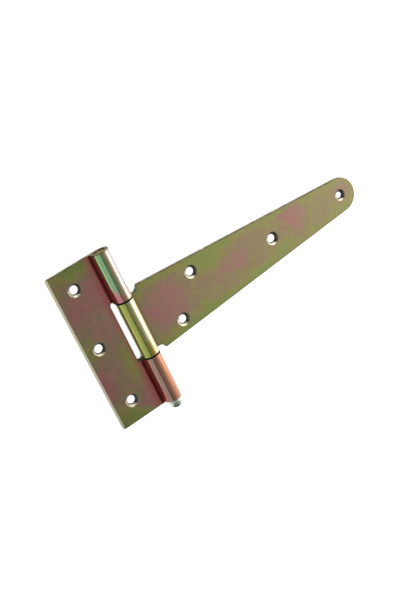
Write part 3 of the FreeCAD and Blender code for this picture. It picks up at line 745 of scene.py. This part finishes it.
def turned_countersink(finish):
    """The screw holes' cones: turned by a bit before plating.

    The bit leaves rings a fifth of a millimetre apart. The colour is painted light and shade:
    pale high on the cone as a painted highlight, darker on one side of it as painted shade, and
    dark at the land at its foot as painted shade in the hole.
    """
    material = blank_material("turned_countersink")
    tree = material.node_tree
    place = add_node(tree, "TexCoord").outputs["Object"]
    in_mm = add_node(tree, "Mapping", inputs={"Vector": place, "Scale": (1 / MM, 1 / MM, 1 / MM)})
    depth = add_node(tree, "SeparateXYZ", inputs={"Vector": in_mm}).outputs["Z"]
    ragged = add_node(tree, "TexNoise", inputs={"Vector": in_mm, "Scale": 1 / 1.5, "Detail": 2.0})
    film = add_node(tree, "Math", MULTIPLY_ADD, {0: ragged, 1: 0.5, 2: depth})
    film = add_node(tree, "MapRange", inputs={0: film, 1: 0.25, 2: 2.25})
    drained = add_node(tree, "Attribute", {"attribute_name": CONE_LIT_SIDE}).outputs["Fac"]
    drained = add_node(tree, "Math", MULTIPLY_ADD, {0: ragged, 1: 0.2, 2: drained})
    lit_share = add_node(tree, "MapRange", SMOOTH, {0: drained, 1: 0.66, 2: 0.92, 3: 0.42, 4: 1.0})
    film = add_node(tree, "Math", MULTIPLY, {0: film, 1: lit_share})
    # Shaded copies of the cones' lit colour, painted as shade low in the hole and on its shaded side.
    dark = tuple(0.08 * channel for channel in finish.countersink_lit[:3]) + (1.0,)
    half_shaded = tuple(0.40 * channel for channel in finish.countersink_lit[:3]) + (1.0,)
    tone = add_node(
        tree,
        "ValToRGB",
        inputs={"Fac": film},
        stops=((0.0, dark), (0.30, dark), (0.42, half_shaded), (0.56, finish.countersink_lit[:])),
    )
    rings = add_node(tree, "Math", MULTIPLY, {0: depth, 1: math.tau / 0.2})
    rings = add_node(tree, "Math", {"operation": "SINE"}, {0: rings})
    bump = add_node(tree, "Bump", inputs={"Strength": 0.4, "Distance": 0.01 * MM, "Height": rings})
    gloss = add_node(
        tree, "MapRange", inputs={0: ragged.outputs["Fac"], 1: 0.3, 2: 0.7, 3: 0.30, 4: 0.44}
    )
    shader = add_node(
        tree,
        "BsdfPrincipled",
        inputs={"Base Color": tone, "Metallic": 0.5, "Roughness": gloss, "Normal": bump},
    )
    add_node(tree, "OutputMaterial", inputs={"Surface": shader})
    return material


def headed_pin_finish(finish, tip, under_head, top):
    """Zinc-plated drawn wire with a cold-formed dome.

    The dome takes a thin, bright, slightly green film, painted darker toward its tip as shade on
    the dome's lower side, the shaft is dark with old grease, and its plain end has a little olive
    film. The three places are in mm along the pin.
    """
    material = blank_material("passivated_zinc_pin")
    tree = material.node_tree
    place = add_node(tree, "TexCoord").outputs["Object"]
    in_mm = add_node(tree, "Mapping", inputs={"Vector": place, "Scale": (1 / MM, 1 / MM, 1 / MM)})
    y = add_node(tree, "SeparateXYZ", inputs={"Vector": in_mm}).outputs["Y"]
    blotch = add_node(tree, "TexNoise", inputs={"Vector": in_mm, "Scale": 1 / 2, "Detail": 2.0})
    along = add_node(tree, "MapRange", inputs={0: y, 1: tip, 2: under_head})
    film = add_node(tree, "Math", MULTIPLY_ADD, {0: blotch, 1: 0.2, 2: along})
    # The dome is painted darker toward its tip as shade on its lower side.
    tip_shade_share = (0.06, 0.12, 0.10)
    dark = [share * channel for share, channel in zip(tip_shade_share, finish.pin_head[:3])] + [1.0]
    tone = add_node(
        tree,
        "ValToRGB",
        inputs={"Fac": film},
        stops=(
            (0.52, dark),
            (0.70, finish.pin_head[:]),
            (1.00, finish.pin_head[:]),
        ),
    )
    outside = add_node(tree, "Math", {"operation": "LESS_THAN"}, {0: y, 1: under_head + 0.8})
    tone = add_node(tree, "Mix", BLEND, {0: outside, 6: finish.grease_and_shade, 7: tone}).outputs[2]
    plain_end = add_node(tree, "MapRange", SMOOTH, {0: y, 1: top - 0.3, 2: top - 0.05, 4: 0.35})
    tone = add_node(tree, "Mix", BLEND, {0: plain_end, 6: tone, 7: finish.olive}).outputs[2]
    bump = add_node(
        tree, "Bump", inputs={"Strength": 0.4, "Distance": 0.02 * MM, "Height": blotch.outputs["Fac"]}
    )
    gloss = add_node(
        tree, "MapRange", inputs={0: blotch.outputs["Fac"], 1: 0.3, 2: 0.7, 3: 0.16, 4: 0.28}
    )
    shine = add_node(tree, "MapRange", inputs={0: outside, 4: 0.5})
    shader = add_node(
        tree,
        "BsdfPrincipled",
        inputs={
            "Base Color": tone,
            "Metallic": outside,
            "Roughness": gloss,
            "Specular IOR Level": shine,
            "Normal": bump,
        },
    )
    add_node(tree, "OutputMaterial", inputs={"Surface": shader})
    return material


def near_hole(centre, holes, reach):
    """Whether a place lies within reach of a screw hole's centre."""
    return any(math.hypot(centre.x - x, centre.y - y) < reach for (x, y), _ in holes)


def coat(piece, main, edge, cone, holes, is_wall):
    """Gives the piece its main finish, and its walls and countersinks their own."""
    piece.data.materials.clear()
    for material in (main, edge, cone):
        piece.data.materials.append(material)

    def on_cone(face):
        centre = face.calc_center_median()
        return near_hole(centre, holes, CONE_REACH) and face.normal.z < 0.9 and centre.z > 0.02 * MM

    # Each cone's side toward the lit direction gets 1 and the far side 0, for painted light and shade.
    drained = piece.data.attributes.new(CONE_LIT_SIDE, "FLOAT", "POINT")
    for vertex, level in zip(piece.data.vertices, drained.data):
        for (x, y), _ in holes:
            along = Vector((vertex.co.x - x, vertex.co.y - y))
            if 0 < along.length < CONE_REACH:
                level.value = 0.5 + 0.5 * along.normalized().dot(Vector(LIT_DIRECTION))
    bpy.ops.object.mode_set(mode="EDIT")
    pick(piece, "FACE", is_wall)
    piece.active_material_index = 1
    bpy.ops.object.material_slot_assign()
    pick(piece, "FACE", on_cone)
    piece.active_material_index = 2
    bpy.ops.object.material_slot_assign()
    bpy.ops.object.mode_set(mode="OBJECT")


def finish_piece(piece, body, node):
    """Hands a finished piece to the frame."""
    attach(piece, body)
    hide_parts(node)


# ---- Operators ----


class TEEHINGE_OT_press_leaf(bpy.types.Operator):
    """Blank the leaf, notch it, roll its two knuckles and countersink its screw holes"""

    bl_idname = "teehinge.press_leaf"
    bl_label = "Press Leaf"

    def execute(self, context):
        sizes = context.scene.hinge_sizes
        finish = context.scene.hinge_finish
        end = sizes.leaf_height / 2
        gap_end = sizes.middle_knuckle / 2 + sizes.knuckle_gap
        root = -sizes.notch_root
        step = -sizes.notch_step
        leaf = add_blank("pressed_leaf", (-sizes.leaf_reach, -end), (0, end))
        for y in (-sizes.notch_half, -gap_end, gap_end, sizes.notch_half):
            cut_across((0, y, 0), (0, 1, 0))
        for x in (root, step):
            cut_across((x, 0, 0), (1, 0, 0))

        def in_notch(face):
            middle = face.calc_center_median()
            reach = sizes.notch_half if middle.x < step else gap_end
            return middle.x > root and abs(middle.y) < reach

        pick(leaf, "FACE", in_notch)
        bpy.ops.mesh.delete(type="FACE")
        bpy.ops.mesh.select_mode(type="FACE")
        bpy.ops.mesh.select_all(action="SELECT")
        bpy.ops.mesh.dissolve_limited(angle_limit=math.radians(1))

        def notch_corner(vertex):
            return near(vertex.co.x, root) and near(abs(vertex.co.y), sizes.notch_half)

        pick(leaf, "VERT", notch_corner)
        bpy.ops.mesh.bevel(offset=sizes.notch_round, segments=8, affect="VERTICES")
        roll_curl(leaf, sizes, -1, lambda edge: all_near(edge, 0, 0.0))
        give_thickness(leaf, sizes)

        bpy.ops.object.mode_set(mode="EDIT")
        pick(
            leaf,
            "EDGE",
            lambda edge: all_near(edge, 0, -sizes.leaf_reach)
            and near(edge.verts[0].co.z, edge.verts[1].co.z),
        )
        bpy.ops.mesh.bevel(offset=sizes.leaf_edge_round, segments=8, profile=0.31, affect="EDGES")
        rounded_to = sizes.leaf_edge_round - sizes.leaf_reach + 1e-6
        pick(leaf, "VERT", lambda vertex: vertex.co.x < rounded_to)
        bpy.ops.transform.resize(
            value=(sizes.edge_slope, 1, 1), center_override=(-sizes.leaf_reach, 0, 0)
        )

        def on_crimped_rim(edge):
            radii = [
                math.hypot(vertex.co.x, vertex.co.z - sizes.knuckle_radius) for vertex in edge.verts
            ]
            on_skin = all(radius > sizes.knuckle_radius - 0.01 * MM for radius in radii)
            rolled = any(vertex.co.x > 0.01 * MM or vertex.co.z > sizes.sheet for vertex in edge.verts)
            return all_near(edge, 1, -end) and on_skin and rolled

        pick(leaf, "EDGE", on_crimped_rim)
        bpy.ops.mesh.bevel(offset=sizes.crimp_round, segments=8, affect="EDGES")
        beside_curl = PAST_ROOT - sizes.notch_root
        cut_across((beside_curl, 0, 0), (1, 0, 0))
        roll_over_front(leaf, sizes, -beside_curl)
        low = end - sizes.leaf_hole_end
        outer = sizes.leaf_hole_edge - sizes.leaf_reach
        middle = sizes.leaf_middle_hole - sizes.leaf_reach
        holes = [
            ((outer, low), sizes.screw_hole),
            ((middle, 0.0), sizes.screw_hole),
            ((outer, -low), sizes.screw_hole),
        ]
        bore_screw_holes(leaf, sizes, holes)
        break_edges(leaf, sizes)

        def is_wall(face):
            centre = face.calc_center_median()
            on_plate = centre.z < sizes.sheet + 1e-6 and centre.x < -sizes.notch_step
            # The rolled front edges take the dark edge finish as painted shade.
            rolled = face.normal.z < 0.97 and centre.z > sizes.sheet / 2
            clear = centre.x > sizes.leaf_edge_round * sizes.edge_slope - sizes.leaf_reach
            return on_plate and clear and (rolled or abs(face.normal.z) < 0.5)

        # The plum low band beside the seam is film colour darkened as painted shade.
        lower = round_bend(0.33, finish.plum, finish.mauve, finish.salmon, finish.salmon)
        by_notch = round_bend(0.33, finish.plum, finish.pink, finish.ochre, finish.pearl)
        upper = round_bend(0.29, finish.plum, finish.sea_green, finish.tan, finish.pearl)
        main = passivated_zinc(
            "passivated_zinc_leaf",
            finish,
            0.37,
            LEAF_BLOOMS,
            (finish.leaf_seam, 12.5),
            3.0,
            (lower, (by_notch, 0, 1), (upper, 17, 24)),
            (0.0, end / MM, 1000.0, 0.0),
            (-sizes.notch_root / MM, sizes.notch_half / MM, -1.0),
        )
        coat(leaf, main, sheared_edge(finish), turned_countersink(finish), holes, is_wall)
        finish_piece(leaf, "leaf", "leaf")
        return {"FINISHED"}


class TEEHINGE_OT_press_strap(bpy.types.Operator):
    """Blank the strap, roll its knuckle and countersink its screw holes"""

    bl_idname = "teehinge.press_strap"
    bl_label = "Press Strap"

    def execute(self, context):
        sizes = context.scene.hinge_sizes
        finish = context.scene.hinge_finish
        neck = sizes.middle_knuckle / 2
        foot = sizes.shoulder_foot
        corner = sizes.shoulder_corner
        half = sizes.shoulder_half
        centre = sizes.strap_reach - sizes.tip_radius
        run = centre - corner
        taper = math.atan2(half, run) - math.asin(sizes.tip_radius / math.hypot(run, half))
        touch_x = centre + sizes.tip_radius * math.sin(taper)
        touch_y = sizes.tip_radius * math.cos(taper)

        strap = add_blank("pressed_strap", (0, -neck), (foot, neck))
        for start, reach, width in (
            (foot, corner, half / neck),
            (corner, touch_x, touch_y / half),
        ):
            pick(strap, "EDGE", lambda edge: all_near(edge, 0, start))
            bpy.ops.mesh.extrude_edges_move(TRANSFORM_OT_translate={"value": (reach - start, 0, 0)})
            bpy.ops.transform.resize(value=(1, width, 1), center_override=(reach, 0, 0))
        pick(strap, "VERT", lambda vertex: near(vertex.co.x, touch_x) and vertex.co.y > 0)
        bpy.ops.mesh.spin(
            steps=48,
            angle=math.pi - 2 * taper,
            center=(centre, 0, 0),
            axis=(0, 0, 1),
            use_auto_merge=False,
        )
        bpy.ops.mesh.select_all(action="SELECT")
        bpy.ops.mesh.remove_doubles(threshold=1e-6)
        pick(strap, "VERT", lambda vertex: vertex.co.x > touch_x - 1e-6)
        bpy.ops.mesh.edge_face_add()
        bpy.ops.mesh.select_all(action="SELECT")
        bpy.ops.mesh.normals_make_consistent(inside=False)
        bpy.ops.mesh.dissolve_limited(angle_limit=math.radians(0.5))
        roll_curl(strap, sizes, 1, lambda edge: all_near(edge, 0, 0.0))
        give_thickness(strap, sizes)
        roll_over_front(strap, sizes, foot)
        holes = [
            ((corner + sizes.upper_hole_along, half - sizes.upper_hole_in), sizes.screw_hole),
            ((corner + sizes.lower_hole_along, sizes.lower_hole_in - half), sizes.screw_hole),
            ((centre - sizes.tip_hole_pitch, 0.0), sizes.screw_hole),
            ((centre, 0.0), sizes.tip_hole),
        ]
        bore_screw_holes(strap, sizes, holes)
        break_edges(strap, sizes)

        def is_wall(face):
            centre = face.calc_center_median()
            beyond_curl = centre.x > sizes.knuckle_radius and centre.z < sizes.sheet + 1e-5
            # The rolled front edges take the dark edge finish as painted shade.
            rolled = face.normal.z < 0.97 and centre.z > sizes.sheet / 2
            return beyond_curl and (rolled or abs(face.normal.z) < 0.5)

        # The low band on the strap's curl, on the leaf's side, is the dark grease colour as painted
        # shade.
        warm_end = round_bend(0.25, finish.grease_and_shade, finish.lime, finish.ochre, finish.straw)
        middle = round_bend(0.25, finish.grease_and_shade, finish.lime, finish.haze, finish.straw)
        main = passivated_zinc(
            "passivated_zinc_strap",
            finish,
            0.28,
            STRAP_BLOOMS,
            (finish.strap_seam, 8.5),
            5.0,
            (warm_end, (middle, -14, -6)),
            (
                math.tan(taper),
                (half + corner * math.tan(taper)) / MM,
                centre / MM,
                sizes.tip_radius / MM,
            ),
            (foot / MM, neck / MM, 1.0),
        )
        coat(strap, main, sheared_edge(finish), turned_countersink(finish), holes, is_wall)
        finish_piece(strap, "strap", "strap")
        return {"FINISHED"}


class TEEHINGE_OT_head_pin(bpy.types.Operator):
    """Cut the pin, chamfer its plain end and form its domed head"""

    bl_idname = "teehinge.head_pin"
    bl_label = "Head Pin"

    def execute(self, context):
        sizes = context.scene.hinge_sizes
        start_clean()
        top = round(PIN_HIGH.y / MM, 1) * MM
        under_head = -sizes.leaf_height / 2
        tip = round(PIN_LOW.y / MM, 1) * MM
        axis = sizes.knuckle_radius
        bpy.ops.mesh.primitive_cylinder_add(
            vertices=96,
            radius=sizes.pin_radius,
            depth=top - under_head,
            location=(0, (top + under_head) / 2, axis),
            rotation=(math.pi / 2, 0, 0),
        )
        pin = bpy.context.object
        pin.name = "headed_pin"
        pin.data.name = "headed_pin"
        bpy.ops.object.transform_apply(location=True, rotation=True, scale=True)
        bpy.ops.object.mode_set(mode="EDIT")
        pick(pin, "EDGE", lambda edge: all_near(edge, 1, top))
        bpy.ops.mesh.bevel(offset=sizes.pin_chamfer, segments=1, affect="EDGES")
        pick(pin, "FACE", lambda face: face.normal.y < -0.9)
        wide = sizes.head_radius / sizes.pin_radius
        bpy.ops.mesh.extrude_region_move(TRANSFORM_OT_translate={"value": (0, 0, 0)})
        bpy.ops.transform.resize(value=(wide, 1, wide), center_override=(0, under_head, axis))
        bpy.ops.mesh.extrude_region_move(TRANSFORM_OT_translate={"value": (0, -sizes.head_rim, 0)})
        rise = under_head - sizes.head_rim - tip
        rings = 12
        for ring in range(1, rings):
            before = math.cos(math.pi / 2 * (ring - 1) / rings)
            after = math.cos(math.pi / 2 * ring / rings)
            lift = math.sin(math.pi / 2 * ring / rings) - math.sin(math.pi / 2 * (ring - 1) / rings)
            bpy.ops.mesh.extrude_region_move(TRANSFORM_OT_translate={"value": (0, -rise * lift, 0)})
            shrink = after / before
            bpy.ops.transform.resize(value=(shrink, 1, shrink), center_override=(0, 0, axis))
        lift = 1 - math.sin(math.pi / 2 * (rings - 1) / rings)
        bpy.ops.mesh.extrude_region_move(TRANSFORM_OT_translate={"value": (0, -rise * lift, 0)})
        bpy.ops.mesh.merge(type="COLLAPSE")
        bpy.ops.mesh.select_all(action="SELECT")
        bpy.ops.mesh.normals_make_consistent(inside=False)
        break_edges(pin, sizes)
        places = (tip / MM, under_head / MM, top / MM)
        pin.data.materials.append(headed_pin_finish(context.scene.hinge_finish, *places))
        finish_piece(pin, "leaf", "hinge_pin")
        return {"FINISHED"}


class TEEHINGE_OT_set_studio(bpy.types.Operator):
    """Lay the floor, hang the lights and set up the camera"""

    bl_idname = "teehinge.set_studio"
    bl_label = "Set Studio"

    def execute(self, context):
        studio = context.scene.hinge_studio
        scene = context.scene
        scene.view_settings.view_transform = "Standard"
        start_clean()
        bpy.ops.mesh.primitive_plane_add(size=8, location=(0.06, 0, -0.0002))
        floor = context.object
        floor.name = "studio_floor"
        paint = blank_material("matt_white_floor")
        tree = paint.node_tree
        # Matt paper: it glows, so that it stays white, except right where the hinge lies on it, where
        # an occlusion mask paints a dark contact shadow and dims the glow.
        open_sky = add_node(
            tree, "AmbientOcclusion", {"samples": 24}, {"Distance": 3 * MM}
        ).outputs["AO"]
        unshadowed = add_node(tree, "MapRange", SMOOTH, {0: open_sky, 1: 0.42, 2: 0.52})
        glow = add_node(tree, "Math", MULTIPLY, {0: unshadowed, 1: studio.paper_glow})
        paper = add_node(
            tree, "Mix", BLEND, {0: unshadowed, 6: linear("#2A2A24"), 7: linear("#F4F4F2")}
        ).outputs[2]
        shader = add_node(
            tree,
            "BsdfPrincipled",
            inputs={
                "Base Color": paper,
                "Roughness": 0.9,
                "Emission Color": (1, 1, 1, 1),
                "Emission Strength": glow,
            },
        )
        add_node(tree, "OutputMaterial", inputs={"Surface": shader.outputs["BSDF"]})
        floor.data.materials.append(paint)

        world = bpy.data.worlds.new("studio_light")
        world.use_nodes = True
        scene.world = world
        tree = world.node_tree
        tree.nodes.clear()
        sky = add_node(tree, "TexCoord").outputs["Generated"]
        across = add_node(
            tree, "VectorMath", {"operation": "DOT_PRODUCT"}, {0: sky, 1: (0.954, -0.3, 0.0)}
        ).outputs["Value"]
        # From the grey wall on the left, past a dark gap and the overhead silk, to the window.
        walls = (
            (-1.00, 0.74),
            (-0.52, 0.74),
            (-0.42, 0.68),
            (-0.32, 0.14),
            (-0.17, 0.14),
            (-0.08, 0.42),
            (0.10, 0.42),
            (0.22, 0.29),
            (0.30, 0.28),
            (0.345, 0.25),
            (0.362, 0.25),
            (0.38, 0.67),
            (0.47, 0.66),
            (0.55, 0.72),
            (0.70, 0.92),
            (1.00, 0.90),
        )
        position = add_node(tree, "Math", MULTIPLY_ADD, {0: across, 1: 0.5, 2: 0.5})
        ramp = add_node(
            tree,
            "ValToRGB",
            inputs={"Fac": position.outputs[0]},
            stops=[(place / 2 + 0.5, (glow, glow, glow, 1)) for place, glow in walls],
        )
        away = add_node(tree, "SeparateXYZ", inputs={"Vector": sky})
        behind = add_node(
            tree, "MapRange", SMOOTH, {0: away.outputs["Y"], 1: 0.30, 2: 0.60, 3: 1.0, 4: 0.35}
        )
        near_end = add_node(
            tree, "MapRange", SMOOTH, {0: away.outputs["Y"], 1: -0.375, 2: -0.42, 3: 1.0, 4: 0.78}
        )
        strength = add_node(tree, "Math", MULTIPLY, {0: behind, 1: near_end})
        light = add_node(
            tree, "Background", inputs={"Color": ramp.outputs["Color"], "Strength": strength}
        )
        add_node(tree, "OutputWorld", inputs={"Surface": light.outputs["Background"]})

        for name, middle, size, glow, turn in (
            ("window", (0.95, 0.48, 0.49), (1.84, 0.70), 2.6, (math.pi / 2, 0, math.pi / 2)),
            ("corner_silk", (0.66, 1.30, 0.46), (0.60, 0.72), 3.0, (math.pi / 2, 0, math.pi)),
        ):
            bpy.ops.object.light_add(type="AREA", location=middle, rotation=turn)
            lamp = context.object
            lamp.name = name
            lamp.visible_camera = False
            lamp.data.shape = "RECTANGLE"
            lamp.data.size = size[0]
            lamp.data.size_y = size[1]
            lamp.data.energy = glow * math.pi * size[0] * size[1]

        place = Vector(studio.camera_place)
        sight = Vector(studio.camera_aim) - place
        turn = sight.to_track_quat("-Z", "Y") @ Quaternion((0, 0, 1), studio.camera_roll)
        bpy.ops.object.camera_add(location=place, rotation=turn.to_euler())
        camera = context.object
        camera.name = "studio_camera"
        camera.data.lens = studio.camera_lens
        camera.data.clip_start = 0.01
        camera.data.clip_end = 20
        scene.camera = camera
        return {"FINISHED"}


class TEEHINGE_PT_panel(bpy.types.Panel):
    """Lists the steps that build the hinge"""

    bl_label = "T Hinge"
    bl_idname = "TEEHINGE_PT_panel"
    bl_space_type = "VIEW_3D"
    bl_region_type = "UI"
    bl_category = "T Hinge"

    def draw(self, context):
        for step in STEPS:
            self.layout.operator(step.bl_idname)


STEPS = (
    TEEHINGE_OT_press_leaf,
    TEEHINGE_OT_press_strap,
    TEEHINGE_OT_head_pin,
    TEEHINGE_OT_set_studio,
)
CLASSES = (HingeSizes, HingeFinish, StudioSettings, *STEPS, TEEHINGE_PT_panel)


def register():
    for entry in CLASSES:
        bpy.utils.register_class(entry)
    bpy.types.Scene.hinge_sizes = PointerProperty(type=HingeSizes)
    bpy.types.Scene.hinge_finish = PointerProperty(type=HingeFinish)
    bpy.types.Scene.hinge_studio = PointerProperty(type=StudioSettings)


def unregister():
    del bpy.types.Scene.hinge_studio
    del bpy.types.Scene.hinge_finish
    del bpy.types.Scene.hinge_sizes
    for entry in reversed(CLASSES):
        bpy.utils.unregister_class(entry)


def main():
    register()
    bpy.ops.teehinge.press_leaf()
    bpy.ops.teehinge.press_strap()
    bpy.ops.teehinge.head_pin()
    bpy.ops.teehinge.set_studio()
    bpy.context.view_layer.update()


if __name__ == "__main__":
    main()
